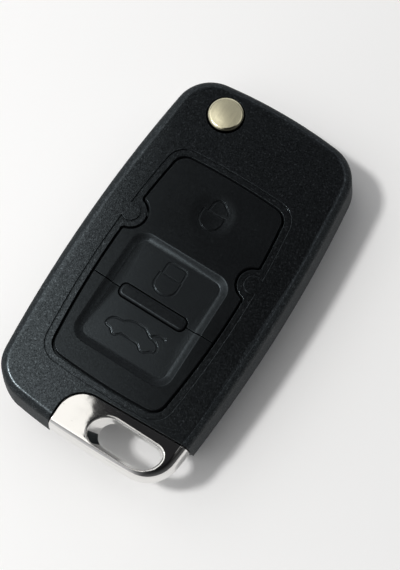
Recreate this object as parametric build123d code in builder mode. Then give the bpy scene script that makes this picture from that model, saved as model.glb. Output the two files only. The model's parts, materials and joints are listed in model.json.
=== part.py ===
from build123d import *
import os
from math import hypot, radians, sqrt, tan

os.makedirs("parts", exist_ok=True)

# Folding key fob, closed, in millimetres and degrees. X runs across the fob, Y from the key ring
# end to the blade pivot end, Z from the flat back up to the keys. The origin is under
# the middle of the back.

# Casing
casing_length = 72.2
casing_width = 40.8
side_bow = 2.2
end_bow = 1.8
corner_radius = 8.2
lower_height = 7.0
upper_height = 7.0
top_wall = 1.5
side_wall = 2.5
floor_wall = 1.4
shoulder_radius = 1.8
side_draft = 9.0
back_draft = 14.0
back_edge_radius = 0.8
parting_step = 0.3
lip_height = 1.0
lip_wall = 0.8
lip_gap = 0.1

# Key window in the upper casing, with a round lobe cut in from either side and a sunk band round it
window_x = -0.3
window_end_inset = 17.15
window_ring_band = 2.25
window_width = 25.6
window_side_bow = 1.5
window_end_bow = 0.5
window_corner = 2.9
lobe_rise = 29.05
lobe_radius = 2.85
lobe_corner = 0.8
band_width = 1.15
band_depth = 0.25

# Keys
key_gap = 0.4
key_sink = 0.1
key_thickness = 2.2
key_edge_bevel = 0.2
seam_rise = 16.45
seam_gap = 0.2
recess_width = 19.5
recess_length = 22.6
recess_rise = 4.75
recess_corner = 2.8
recess_slope = 1.35
recess_depth = 0.7
recess_edge_radius = 0.8
dish_radius = 4.6
dish_depth = 0.2
unlock_inset = 7.55
lock_rise = 22.45
boot_rise = 10.75
plunger_radius = 1.7
boot_travel = 0.5
flange_lap = 0.6
flange_gap = 0.1

# Rocker pivot under the lobes
pivot_drop = 3.3
stub_radius = 0.5
stub_clearance = 0.04
lug_width = 1.4
lug_depth = 1.8
saddle_width = 1.5
saddle_depth = 2.6
saddle_gap = 0.25

# Divider bar that stands up between the keys
bar_length = 13.4
bar_width = 2.5
bar_corner = 1.0
bar_proud = 0.35
bar_edge_radius = 0.5

# Sandwich of inner pieces under the keys
frame_thickness = 0.8
layer_gap = 0.1
membrane_thickness = 0.6
dome_radius = 2.4
dome_height = 0.7
dome_hole_gap = 0.3
frame_side_lap = 0.1
frame_end_inset = 1.45
frame_tongue_gap = 0.3
ear_radius = 1.9
ear_wall_gap = 0.8
ear_inset = 5.4
mat_inset = 1.0
mat_corner = 2.0
peg_radius = 0.6
peg_shoulder_radius = 1.2
peg_clearance = 0.05
tray_side_gap = 1.6
tray_blade_gap = 1.9
tray_end_inset = 0.9
tray_corner = 2.0
tray_floor = 0.8
tray_rim = 0.5
tray_wall = 1.0
post_radius = 1.2
post_inset = 1.6

# Coin cell seat and contacts, chip holder
cell_radius = 10.0
cell_gap = 0.2
cell_wall = 1.2
cell_seat_height = 3.2
cell_drop = 2.1
contact_thickness = 0.3
contact_width = 5.0
contact_drop = 2.6
contact_foot = 7.0
chip_length = 13.0
chip_width = 5.4
chip_height = 4.0
chip_bore = 1.65
chip_pivot_drop = 8.3
chip_gap = 0.15
chip_rib = 1.0

# Chrome ring end in the corner of the casing
ring_width = 24.7
ring_length = 8.9
ring_heel_radius = 4.9
ring_gap = 0.25
ring_wall = 1.2
ring_lean = 2.5
ring_inset = 0.2
ring_sink = 0.6
ring_height = 3.8
ring_corner_radius = 6.5
ring_end_bow = 0.6
ring_edge_radius = 1.5
ring_slot_length = 12.8
ring_slot_width = 4.3
ring_slot_side_inset = 12.2
ring_slot_end_inset = 5.3
ring_slot_bevel = 0.4
tongue_side_inset = 13.9
tongue_width = 10.0
tongue_length = 5.6
tongue_thickness = 1.4
tongue_gap = 0.15
ring_pin_radius = 1.25
ring_pin_clearance = 0.05
ring_pin_inset = 3.6
ring_boss_wall = 0.9

# Blade pivot, hub and release button
pivot_side_inset = 11.8
pivot_end_inset = 7.3
hub_radius = 4.9
hub_collar_radius = 4.4
hub_spigot_radius = 2.9
hub_gap = 0.2
hub_cup_floor = 1.2
guide_gap = 0.1
guide_wall = 1.0
post_pin_radius = 1.25
post_pin_clearance = 0.05
washer_thickness = 0.5
washer_gap = 0.1
button_radius = 3.4
button_clearance = 0.05
button_bore_gap = 0.2
button_proud = 1.0
button_edge_radius = 0.75
button_crown = 0.25
button_wall = 0.7
button_travel = 1.0
button_skirt = 6.2
lug_reach = 4.05
button_lug_width = 1.8
button_lug_height = 1.0
button_lug_gap = 0.1
spring_wire_radius = 0.3
spring_radius = 2.1
spring_turns = 5

# Blade and the arm that holds it
blade_side_inset = 2.3
blade_width = 7.4
blade_thickness = 2.2
blade_tip_inset = 9.9
blade_tip_length = 3.5
blade_root_width = 5.0
blade_root_length = 8.4
blade_groove_width = 1.8
blade_groove_depth = 0.5
blade_gap = 0.2
blade_fit = 0.02
arm_reach = 12.0
arm_height = 4.6
arm_head = 1.6
arm_corner = 4.5
arm_clear = 0.3
channel_rib = 1.2
rib_pitch = 9.0
blade_pin_radius = 0.8
blade_pin_clearance = 0.02

# Screws from the back
screw_side_inset = 7.8
screw_end_inset = 9.5
ring_screw_side_inset = 6.6
ring_screw_rise = 3.4
heel_screw_gap = 5.1
heel_screw_end_inset = 6.5
screw_boss_radius = 2.0
screw_radius = 0.8
screw_clearance = 0.1
screw_head_radius = 1.5
screw_head_height = 1.2
screw_head_gap = 0.2
screw_seat_depth = 2.4
screw_bite = 4.0
screw_drive_radius = 0.8
screw_drive_depth = 0.6

# Places that follow from the sizes above
right_side = casing_width / 2
pivot_end = casing_length / 2
pivot_x = pivot_side_inset - right_side
pivot_y = pivot_end - pivot_end_inset
ring_left = right_side - ring_width
ring_top_edge = ring_length - pivot_end
ring_rise = ring_width * tan(radians(ring_lean))
ring_slot_x = right_side - ring_slot_side_inset
ring_slot_y = ring_slot_end_inset - pivot_end
tongue_x = right_side - tongue_side_inset
ring_pin_y = ring_top_edge + ring_pin_inset
window_low_y = ring_top_edge + window_ring_band
window_high_y = pivot_end - window_end_inset
window_length = window_high_y - window_low_y
window_y = (window_high_y + window_low_y) / 2
lobe_y = window_low_y + lobe_rise
seam_y = window_low_y + seam_rise
recess_y = window_low_y + recess_rise + recess_length / 2
unlock_point = (window_x, window_high_y - unlock_inset)
lock_point = (window_x, window_low_y + lock_rise)
boot_point = (window_x, window_low_y + boot_rise)
frame_low_y = ring_top_edge + tongue_length + frame_tongue_gap
frame_high_y = window_high_y - frame_end_inset
frame_length = frame_high_y - frame_low_y
frame_width = window_width + 2 * frame_side_lap
frame_y = (frame_high_y + frame_low_y) / 2
ear_reach = right_side - side_wall - ear_wall_gap - ear_radius
ear_pitch = frame_length - 2 * ear_inset
peg_points = [(sx * ear_reach, frame_y + sy * ear_pitch / 2) for sx in (-1, 1) for sy in (-1, 1)]
blade_x = blade_side_inset + blade_width / 2 - right_side
blade_inner = blade_x + blade_width / 2
blade_tip_y = blade_tip_inset - pivot_end
arm_end_y = pivot_y - arm_reach
sweep_reach = pivot_x - blade_x + blade_width / 2
sweep_radius = hypot(sweep_reach, arm_reach) + arm_clear
tray_left = blade_inner + tray_blade_gap
tray_right = right_side - side_wall - lip_gap - lip_wall - tray_side_gap
tray_width = tray_right - tray_left
tray_length = frame_length - 2 * tray_end_inset
tray_x = (tray_left + tray_right) / 2
cell_x = tray_x
cell_y = frame_y - cell_drop
chip_x = tray_x
chip_y = pivot_y - chip_pivot_drop
screw_points = [(right_side - screw_side_inset, pivot_end - screw_end_inset),
                (right_side - ring_screw_side_inset, ring_top_edge + ring_screw_rise),
                (ring_left - heel_screw_gap, heel_screw_end_inset - pivot_end)]

# Heights that follow from the sizes above
parting_z = lower_height
top_z = lower_height + upper_height
floor_inset = (parting_z - floor_wall) * tan(radians(back_draft))
roof_z = top_z - top_wall
key_top = top_z - key_sink
key_bottom = key_top - key_thickness
rocker_axis_z = key_top - pivot_drop
frame_top = rocker_axis_z - stub_radius - layer_gap
frame_bottom = frame_top - frame_thickness
membrane_top = frame_bottom - layer_gap
membrane_bottom = membrane_top - membrane_thickness
tray_top = membrane_bottom - layer_gap
tray_bottom = tray_top - tray_rim - tray_floor
dome_top = membrane_top + dome_height
ring_top_z = top_z - ring_sink
ring_bottom_z = ring_top_z - ring_height
ring_side_inset = ring_inset + (ring_bottom_z - parting_z) * tan(radians(side_draft))
blade_top = parting_z - blade_gap
blade_bottom = blade_top - blade_thickness
arm_top = (blade_top + blade_bottom + arm_height) / 2
arm_bottom = arm_top - arm_height
hub_top = roof_z - hub_gap
hub_bottom = floor_wall + washer_thickness + washer_gap
cup_floor_z = arm_bottom + hub_cup_floor
button_top = top_z + button_proud
button_bottom = button_top - button_skirt
lug_top = roof_z - button_lug_gap
lug_bottom = lug_top - button_lug_height


def bowed_outline(length, width, end_rise, side_rise, corner):
    """Rectangle with rounded corners whose four sides bulge outwards."""
    half_l = length / 2
    half_w = width / 2
    a = (half_w - side_rise, half_l - end_rise)
    with BuildSketch(mode=Mode.PRIVATE) as outline:
        with BuildLine():
            ThreePointArc((-a[0], -a[1]), (0, -half_l), (a[0], -a[1]))
            ThreePointArc((a[0], -a[1]), (half_w, 0), (a[0], a[1]))
            ThreePointArc((a[0], a[1]), (0, half_l), (-a[0], a[1]))
            ThreePointArc((-a[0], a[1]), (-half_w, 0), (-a[0], -a[1]))
        make_face()
        fillet(outline.vertices(), corner)
    return outline.sketch


def window_outline(grow):
    """Key window outline, larger all round by grow, with its two lobes."""
    length = window_length + 2 * grow
    width = window_width + 2 * grow
    with BuildSketch(mode=Mode.PRIVATE) as outline:
        with Locations((window_x, window_y)):
            add(bowed_outline(length, width, window_end_bow, window_side_bow, window_corner + grow))
        with Locations((window_x - window_width / 2, lobe_y), (window_x + window_width / 2, lobe_y)):
            Circle(lobe_radius - grow, mode=Mode.SUBTRACT)
        near_lobes = outline.vertices().filter_by(lambda v: 0.5 < abs(v.Y - lobe_y) / lobe_radius < 1.5)
        fillet(near_lobes, lobe_corner + grow)
    return outline.sketch


def ring_corner(grow):
    """Corner of the casing that the ring end takes up, larger by grow and open outwards."""
    left = ring_left - grow
    top = ring_top_edge + grow
    high = top + (casing_width - left) * tan(radians(ring_lean))
    with BuildSketch(mode=Mode.PRIVATE) as corner:
        with BuildLine():
            FilletPolyline((left, -casing_length), (left, top), (casing_width, high),
                           radius=ring_heel_radius + grow)
            Polyline((casing_width, high), (casing_width, -casing_length), (left, -casing_length))
        make_face()
    return corner.sketch


def bar_outline(grow):
    """Rounded outline of the divider bar, larger all round by grow."""
    with BuildSketch(mode=Mode.PRIVATE) as outline:
        with Locations((window_x, seam_y)):
            RectangleRounded(bar_length + 2 * grow, bar_width + 2 * grow, bar_corner + grow)
    return outline.sketch


def casing_outline(inset):
    """Outline of the casing at its parting line, smaller all round by inset."""
    return bowed_outline(casing_length - 2 * inset, casing_width - 2 * inset, end_bow, side_bow,
                         corner_radius - inset)


# Plan of everything the arm crosses as the blade swings from the side out past the end
with BuildSketch() as arm_sweep:
    with Locations((blade_inner + arm_clear, pivot_y)):
        Rectangle(casing_width, 2 * sweep_radius, align=(Align.MAX, Align.CENTER))
    with Locations((pivot_x + sweep_reach + arm_clear, pivot_y)):
        Rectangle(2 * casing_width, sweep_radius, align=(Align.MAX, Align.MIN))
    with Locations((pivot_x, pivot_y)):
        Circle(sweep_radius, mode=Mode.INTERSECT)

# Room for the folded blade, open to the left side, and for the hub and its arm
with BuildPart() as blade_room:
    with BuildSketch(Plane.XY.offset(blade_bottom - blade_gap)):
        with Locations((blade_inner + arm_clear, blade_tip_y - arm_clear)):
            Rectangle(casing_width, pivot_y - blade_tip_y, align=(Align.MAX, Align.MIN))
    extrude(amount=upper_height)
    with BuildSketch(Plane.XY.offset(arm_bottom - blade_gap)):
        add(arm_sweep.sketch)
        with Locations((pivot_x, pivot_y)):
            Circle(hub_radius + arm_clear)
    extrude(amount=upper_height)


# Upper casing: rounded lid with the key window, button bore, bosses and guide ring
with BuildPart() as upper_casing:
    with BuildSketch(Plane.XY.offset(parting_z)):
        add(casing_outline(0))
    extrude(amount=upper_height, taper=side_draft)
    fillet(upper_casing.faces().sort_by(Axis.Z)[-1].edges(), shoulder_radius)
    with BuildSketch(Plane.XY.offset(parting_z)):
        add(casing_outline(side_wall))
        add(ring_corner(ring_gap + ring_wall), mode=Mode.SUBTRACT)
    extrude(amount=upper_height - top_wall, mode=Mode.SUBTRACT)

    # Guide ring round the hub, screw bosses and frame pegs hang from the roof
    with BuildSketch(Plane.XY.offset(roof_z)):
        with Locations((pivot_x, pivot_y)):
            Circle(hub_collar_radius + guide_gap + guide_wall)
    extrude(amount=arm_top + arm_clear - roof_z)
    with BuildSketch(Plane.XY.offset(roof_z)):
        with Locations(*screw_points):
            Circle(screw_boss_radius)
    extrude(amount=parting_z + lip_gap - roof_z)
    with BuildSketch(Plane.XY.offset(roof_z)):
        with Locations(*peg_points):
            Circle(peg_shoulder_radius)
    extrude(amount=frame_top + layer_gap - roof_z)
    with BuildSketch(Plane.XY.offset(frame_top + layer_gap)):
        with Locations(*peg_points):
            Circle(peg_radius)
    extrude(amount=frame_bottom - frame_top)

    # The ring end's corner is cut away
    with BuildSketch(Plane.XY.offset(parting_z)):
        add(ring_corner(ring_gap))
    extrude(amount=upper_height, mode=Mode.SUBTRACT)

    # Key window with the sunk band that frames it
    with BuildSketch(Plane.XY.offset(roof_z)):
        add(window_outline(0))
    extrude(amount=top_wall, mode=Mode.SUBTRACT)
    with BuildSketch(Plane.XY.offset(top_z)):
        add(window_outline(band_width))
    extrude(amount=-band_depth, mode=Mode.SUBTRACT)

    # Button bore, hub guide bore, screw pilots and the slot for the ring end's tongue
    with Locations((pivot_x, pivot_y, top_z)):
        Hole(button_radius + button_bore_gap, depth=top_wall)
    with BuildSketch(Plane.XY.offset(roof_z)):
        with Locations((pivot_x, pivot_y)):
            Circle(hub_collar_radius + guide_gap)
    extrude(amount=parting_z - roof_z, mode=Mode.SUBTRACT)
    with BuildSketch(Plane.XY.offset(parting_z)):
        with Locations(*screw_points):
            Circle(screw_radius + screw_clearance)
    extrude(amount=screw_bite, mode=Mode.SUBTRACT)
    with BuildSketch(Plane.XY.offset(ring_bottom_z - tongue_gap)):
        with Locations((tongue_x, ring_top_edge)):
            Rectangle(tongue_width + 2 * tongue_gap, 2 * (ring_wall + ring_gap + tongue_gap + ring_rise))
    extrude(amount=tongue_thickness + 2 * tongue_gap, mode=Mode.SUBTRACT)

    # Relief over the swinging arm
    with BuildSketch(Plane.XY.offset(parting_z)):
        add(arm_sweep.sketch)
    extrude(amount=arm_top + arm_clear - parting_z, mode=Mode.SUBTRACT)
upper_casing.part.label = "upper_casing"


# Drafted outer form of the lower casing
with BuildPart() as lower_blank:
    with BuildSketch(Plane.XY.offset(parting_z)):
        add(casing_outline(parting_step))
    extrude(amount=-lower_height, taper=back_draft)
    fillet(lower_blank.faces().sort_by(Axis.Z)[0].edges(), back_edge_radius)

# Room inside it, kept clear of the ring corner's wall
with BuildPart() as lower_cavity:
    with BuildSketch(Plane.XY.offset(parting_z)):
        add(casing_outline(parting_step + side_wall))
    with BuildSketch(Plane.XY.offset(floor_wall)):
        add(casing_outline(parting_step + side_wall + floor_inset))
    loft(ruled=True)
    with BuildSketch(Plane.XY):
        add(ring_corner(ring_gap + ring_wall))
    extrude(amount=parting_z, mode=Mode.SUBTRACT)

# Bosses, seats and ribs that rise from the floor, trimmed to the outer form
channel_length = arm_end_y - blade_tip_y
with BuildPart() as lower_seats:
    with BuildSketch(Plane.XY.offset(floor_wall)):
        with Locations((cell_x, cell_y)):
            Circle(cell_radius + cell_gap + cell_wall)
            Circle(cell_radius + cell_gap, mode=Mode.SUBTRACT)
    extrude(amount=cell_seat_height)
    with BuildSketch(Plane.XY.offset(floor_wall)):
        with Locations(*screw_points):
            Circle(screw_boss_radius)
        with Locations((blade_inner + arm_clear + channel_rib, (arm_end_y + blade_tip_y) / 2)):
            Rectangle(2 * channel_rib, channel_length, align=(Align.MAX, Align.CENTER))
            with GridLocations(0, rib_pitch, 1, int(channel_length // rib_pitch)):
                Rectangle(2 * blade_width, channel_rib, align=(Align.MAX, Align.CENTER))
    extrude(amount=parting_z - floor_wall)
    with BuildSketch(Plane.XY.offset(floor_wall)):
        with Locations((tray_x, frame_y)):
            with GridLocations(tray_width - 2 * post_inset, tray_length - 2 * post_inset, 2, 2):
                Circle(post_radius)
    extrude(amount=tray_bottom - layer_gap - floor_wall)
    with BuildSketch(Plane.XY.offset(floor_wall)):
        with Locations((tongue_x, ring_pin_y)):
            Circle(ring_pin_radius + ring_boss_wall)
    extrude(amount=ring_bottom_z - tongue_gap - floor_wall)
    with BuildSketch(Plane.XY.offset(floor_wall)):
        with Locations((chip_x, chip_y)):
            Rectangle(chip_length + 2 * (chip_gap + chip_rib), chip_width + 2 * (chip_gap + chip_rib))
            Rectangle(chip_length + 2 * chip_gap, chip_width + 2 * chip_gap, mode=Mode.SUBTRACT)
    extrude(amount=chip_height / 2)
    split(bisect_by=Plane.XY.offset(parting_z), keep=Keep.BOTTOM)
    add(lower_blank.part, mode=Mode.INTERSECT)

# Lower casing: drafted tray with the open blade channel, bosses and seats
with BuildPart() as lower_casing:
    add(lower_blank.part)
    add(lower_cavity.part, mode=Mode.SUBTRACT)
    add(lower_seats.part)

    # Lip that centres the upper casing, stopped where its bosses come down
    with BuildSketch(Plane.XY.offset(parting_z)):
        add(casing_outline(side_wall + lip_gap))
        add(ring_corner(ring_gap + ring_wall + lip_gap), mode=Mode.SUBTRACT)
        add(casing_outline(side_wall + lip_gap + lip_wall), mode=Mode.SUBTRACT)
        with Locations(*screw_points):
            Circle(screw_boss_radius + lip_gap, mode=Mode.SUBTRACT)
    extrude(amount=lip_height)
    with BuildSketch(Plane.XY.offset(parting_z - lip_height)):
        add(casing_outline(side_wall))
        add(ring_corner(ring_gap + ring_wall), mode=Mode.SUBTRACT)
        add(casing_outline(side_wall + lip_gap + lip_wall), mode=Mode.SUBTRACT)
    extrude(amount=lip_height)

    # The ring corner and the blade's room are open
    with BuildSketch(Plane.XY):
        add(ring_corner(ring_gap))
    extrude(amount=parting_z + lip_height, mode=Mode.SUBTRACT)
    add(blade_room.part, mode=Mode.SUBTRACT)

    # Post that the hub turns on, in a clear ring of floor
    with BuildSketch(Plane.XY.offset(floor_wall)):
        with Locations((pivot_x, pivot_y)):
            Circle(hub_spigot_radius + arm_clear)
    extrude(amount=arm_bottom - floor_wall, mode=Mode.SUBTRACT)
    with BuildSketch(Plane.XY.offset(floor_wall)):
        with Locations((pivot_x, pivot_y)):
            Circle(post_pin_radius)
    extrude(amount=cup_floor_z - floor_wall)

    # Screw holes with sunk head seats, and the hole for the ring pin
    with BuildSketch(Plane.XY):
        with Locations(*screw_points):
            Circle(screw_radius + screw_clearance)
    extrude(amount=parting_z, mode=Mode.SUBTRACT)
    with BuildSketch(Plane.XY):
        with Locations(*screw_points):
            Circle(screw_head_radius + screw_head_gap)
    extrude(amount=screw_seat_depth, mode=Mode.SUBTRACT)
    with BuildSketch(Plane.XY.offset(floor_wall)):
        with Locations((tongue_x, ring_pin_y)):
            Circle(ring_pin_radius + ring_pin_clearance)
    extrude(amount=ring_bottom_z, mode=Mode.SUBTRACT)
lower_casing.part.label = "lower_casing"


# Ring end: bright die casting with the key ring slot and a tongue that the casing traps
with BuildPart() as ring_end:
    with BuildSketch(Plane.XY.offset(ring_bottom_z)):
        add(bowed_outline(casing_length - 2 * ring_side_inset, casing_width - 2 * ring_side_inset,
                          ring_end_bow, side_bow, ring_corner_radius))
    extrude(amount=ring_height, taper=side_draft)
    fillet(ring_end.faces().sort_by(Axis.Z)[-1].edges(), ring_edge_radius)
    with BuildSketch(Plane.XY.offset(ring_bottom_z)):
        add(ring_corner(0))
    extrude(amount=ring_height, mode=Mode.INTERSECT)
    with BuildSketch(Plane.XY.offset(ring_bottom_z)):
        with Locations((ring_slot_x, ring_slot_y)):
            SlotOverall(ring_slot_length, ring_slot_width)
    extrude(amount=ring_height, mode=Mode.SUBTRACT)
    slot_rim = ring_end.faces().sort_by(Axis.Z)[-1].inner_wires()[0]
    chamfer(slot_rim.edges(), ring_slot_bevel)
    with BuildSketch(Plane.XY.offset(ring_bottom_z)):
        with Locations((tongue_x, ring_top_edge - tongue_gap)):
            Rectangle(tongue_width, tongue_length + tongue_gap, align=(Align.CENTER, Align.MIN))
    extrude(amount=tongue_thickness)
    with Locations((tongue_x, ring_pin_y, ring_bottom_z + tongue_thickness)):
        Hole(ring_pin_radius + ring_pin_clearance, depth=tongue_thickness)
ring_end.part.label = "ring_end"

# Steel dowel through the tongue
with BuildPart() as ring_pin:
    with BuildSketch(Plane.XY.offset(floor_wall + layer_gap)):
        with Locations((tongue_x, ring_pin_y)):
            Circle(ring_pin_radius)
    extrude(amount=ring_bottom_z + tongue_thickness - floor_wall - layer_gap)
    chamfer(ring_pin.edges().filter_by(GeomType.CIRCLE), 0.2)
ring_pin.part.label = "ring_pin"


# Blank of the key pad, parted below into the rocker and the boot key
with BuildPart() as key_blank:
    with BuildSketch(Plane.XY.offset(key_bottom)):
        add(window_outline(-key_gap))
    extrude(amount=key_thickness)
    chamfer(key_blank.faces().sort_by(Axis.Z)[-1].edges(), key_edge_bevel)
    with BuildSketch(Plane.XY.offset(key_top)):
        with Locations((window_x, recess_y)):
            RectangleRounded(recess_width, recess_length, recess_corner)
    with BuildSketch(Plane.XY.offset(key_top - recess_depth)):
        with Locations((window_x, recess_y)):
            RectangleRounded(recess_width - 2 * recess_slope, recess_length - 2 * recess_slope,
                             recess_corner - recess_slope)
    loft(mode=Mode.SUBTRACT)
    fillet(key_blank.faces().sort_by(Axis.Z)[-1].inner_wires()[0].edges(), recess_edge_radius)
    with BuildSketch(Plane.XY.offset(key_bottom)):
        add(bar_outline(seam_gap))
    extrude(amount=key_thickness, mode=Mode.SUBTRACT)

# Rocker key: unlock at one end, lock at the other, on two stubs under the lobes
lobe_face = window_width / 2 - lobe_radius - key_gap
with BuildPart() as rocker_key:
    add(key_blank.part)
    split(bisect_by=Plane((0, seam_y + seam_gap / 2, 0), z_dir=(0, 1, 0)), keep=Keep.TOP)
    dish_ball = (dish_radius**2 + dish_depth**2) / (2 * dish_depth)
    with Locations((*unlock_point, key_top - dish_depth + dish_ball)):
        Sphere(dish_ball, mode=Mode.SUBTRACT)
    with BuildSketch(Plane.XY.offset(key_bottom)):
        with Locations(unlock_point, lock_point):
            Circle(plunger_radius)
        with Locations((window_x, lobe_y)):
            with GridLocations(2 * lobe_face - lug_width, 0, 2, 1):
                Rectangle(lug_width, lug_depth)
    extrude(amount=rocker_axis_z - stub_radius - key_bottom)
    for side in (-1, 1):
        stub_start = window_x + side * (lobe_face - lug_width)
        with BuildSketch(Plane((stub_start, lobe_y, rocker_axis_z), z_dir=(side, 0, 0))):
            Circle(stub_radius)
        extrude(amount=lug_width + saddle_gap + saddle_width)
rocker_key.part.label = "rocker_key"

# Boot key: pushed straight down, held up against the roof by its flange
with BuildPart() as boot_key:
    add(key_blank.part)
    split(bisect_by=Plane((0, seam_y - seam_gap / 2, 0), z_dir=(0, -1, 0)), keep=Keep.TOP)
    with BuildSketch(Plane.XY.offset(key_bottom)):
        add(window_outline(flange_lap))
        with Locations((window_x, seam_y - bar_width)):
            Rectangle(2 * window_width, window_length, align=(Align.CENTER, Align.MAX), mode=Mode.INTERSECT)
        add(bar_outline(seam_gap), mode=Mode.SUBTRACT)
        with Locations(*screw_points):
            Circle(screw_boss_radius + saddle_gap, mode=Mode.SUBTRACT)
        add(ring_corner(ring_gap + ring_wall + saddle_gap), mode=Mode.SUBTRACT)
    extrude(amount=roof_z - flange_gap - key_bottom)
    with BuildSketch(Plane.XY.offset(key_bottom)):
        with Locations(boot_point):
            Circle(plunger_radius)
    extrude(amount=dome_top + boot_travel + layer_gap - key_bottom)
boot_key.part.label = "boot_key"


# Key frame: plate with the rocker's saddles, the divider bar and four ears on the pegs
with BuildPart() as key_frame:
    with BuildSketch(Plane.XY.offset(frame_bottom)):
        with Locations((window_x, frame_y)):
            Rectangle(frame_width, frame_length)
        with Locations((0, frame_y)):
            with GridLocations(0, ear_pitch, 1, 2):
                SlotCenterToCenter(2 * ear_reach, 2 * ear_radius)
        with Locations(unlock_point, lock_point, boot_point):
            Circle(dome_radius + dome_hole_gap, mode=Mode.SUBTRACT)
        with Locations(*peg_points):
            Circle(peg_radius + peg_clearance, mode=Mode.SUBTRACT)
    extrude(amount=frame_thickness)
    with BuildSketch(Plane.XY.offset(frame_top)):
        add(bar_outline(0))
    extrude(amount=key_top - recess_depth + bar_proud - frame_top)
    fillet(key_frame.faces().sort_by(Axis.Z)[-1].edges(), bar_edge_radius)
    with BuildSketch(Plane.XY.offset(frame_top)):
        with Locations((window_x, lobe_y)):
            with GridLocations(2 * (lobe_face + saddle_gap) + saddle_width, 0, 2, 1):
                Rectangle(saddle_width, saddle_depth)
    extrude(amount=key_bottom - layer_gap - frame_top)
    with BuildSketch(Plane((window_x - window_width, lobe_y, rocker_axis_z), z_dir=(1, 0, 0))):
        Circle(stub_radius + stub_clearance)
    extrude(amount=2 * window_width, mode=Mode.SUBTRACT)
key_frame.part.label = "key_frame"

# Silicone mat with a dome under each key plunger
with BuildPart() as key_membrane:
    with BuildSketch(Plane.XY.offset(membrane_bottom)):
        with Locations((window_x, frame_y)):
            RectangleRounded(frame_width - 2 * mat_inset, frame_length - 2 * mat_inset, mat_corner)
    extrude(amount=membrane_thickness)
    with BuildSketch(Plane.XY.offset(membrane_top)):
        with Locations(unlock_point, lock_point, boot_point):
            Circle(dome_radius)
    extrude(amount=dome_height, taper=20)
key_membrane.part.label = "key_membrane"

# Tray for the circuit board, empty, with a rim that carries the mat
with BuildPart() as board_tray:
    with BuildSketch(Plane.XY.offset(tray_bottom)):
        with Locations((tray_x, frame_y)):
            RectangleRounded(tray_width, tray_length, tray_corner)
    extrude(amount=tray_floor + tray_rim)
    with BuildSketch(Plane.XY.offset(tray_bottom + tray_floor)):
        with Locations((tray_x, frame_y)):
            RectangleRounded(tray_width - 2 * tray_wall, tray_length - 2 * tray_wall, tray_corner / 2)
    extrude(amount=tray_rim, mode=Mode.SUBTRACT)
board_tray.part.label = "board_tray"

# Two sprung strips on the tray's underside that would meet the coin cell
with BuildPart() as cell_contacts:
    for side in (-1, 1):
        strip_x = cell_x + side * contact_foot
        with BuildSketch(Plane((strip_x, cell_y, tray_bottom), x_dir=(side, 0, 0), z_dir=(0, -side, 0))):
            with BuildLine():
                FilletPolyline((-contact_foot / 2, -contact_thickness), (0, -contact_thickness),
                               (contact_thickness, -contact_drop), (-contact_foot / 3, -contact_drop),
                               radius=2 * contact_thickness)
                offset(amount=contact_thickness, side=Side.LEFT)
            make_face()
        extrude(amount=contact_width / 2, both=True)
cell_contacts.part.label = "cell_contacts"

# Open carrier for the transponder chip, between two ribs of the floor
with BuildPart() as chip_holder:
    with BuildSketch(Plane.XY.offset(floor_wall + layer_gap)):
        with Locations((chip_x, chip_y)):
            RectangleRounded(chip_length, chip_width, 0.6)
    extrude(amount=chip_height)
    with BuildSketch(Plane((chip_x, chip_y, floor_wall + layer_gap + chip_height), z_dir=(1, 0, 0))):
        Circle(chip_bore)
    extrude(amount=chip_length / 2 - chip_rib, both=True, mode=Mode.SUBTRACT)
chip_holder.part.label = "chip_holder"


# Blade hub: turned body with the arm that grips the blade
with BuildPart() as blade_hub:
    with BuildSketch(Plane((pivot_x, pivot_y, 0), x_dir=(1, 0, 0), z_dir=(0, -1, 0))):
        with BuildLine():
            Polyline((0, hub_bottom), (hub_spigot_radius, hub_bottom), (hub_spigot_radius, arm_bottom),
                     (hub_radius, arm_bottom), (hub_radius, arm_top), (hub_collar_radius, arm_top),
                     (hub_collar_radius, hub_top), (0, hub_top), close=True)
        make_face()
    revolve(axis=Axis((pivot_x, pivot_y, 0), (0, 0, 1)))
    with BuildSketch(Plane.XY.offset(arm_bottom)) as arm_plan:
        with Locations((blade_x, arm_end_y)):
            Rectangle(blade_width, arm_reach - arm_head, align=(Align.CENTER, Align.MIN))
        fillet(arm_plan.vertices().group_by(Axis.Y)[-1].sort_by(Axis.X)[0], arm_corner)
        with Locations((pivot_x, pivot_y)):
            Circle(hub_radius)
    extrude(amount=arm_height)
    # Cup for the spring and the button, post hole and slots for the button's lugs
    with BuildSketch(Plane.XY.offset(cup_floor_z)):
        with Locations((pivot_x, pivot_y)):
            Circle(button_radius + button_clearance)
    extrude(amount=top_z, mode=Mode.SUBTRACT)
    with BuildSketch(Plane.XY):
        with Locations((pivot_x, pivot_y)):
            Circle(post_pin_radius + post_pin_clearance)
    extrude(amount=top_z, mode=Mode.SUBTRACT)
    with BuildSketch(Plane.XY.offset(hub_top)):
        with Locations((pivot_x, pivot_y)):
            Rectangle(2 * (lug_reach + button_lug_gap), button_lug_width + 2 * button_lug_gap)
    extrude(amount=lug_bottom - button_travel - button_lug_gap - hub_top, mode=Mode.SUBTRACT)
    # Slot for the blade's root and the hole for its pin
    with BuildSketch(Plane.XY.offset(blade_bottom - blade_fit)):
        with Locations((blade_x, arm_end_y)):
            Rectangle(blade_root_width + 2 * blade_fit, 2 * (blade_root_length + blade_fit))
    extrude(amount=blade_thickness + 2 * blade_fit, mode=Mode.SUBTRACT)
    with BuildSketch(Plane.XY):
        with Locations((blade_x, arm_end_y + blade_root_length / 2)):
            Circle(blade_pin_radius + blade_pin_clearance)
    extrude(amount=top_z, mode=Mode.SUBTRACT)
blade_hub.part.label = "blade_hub"

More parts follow.
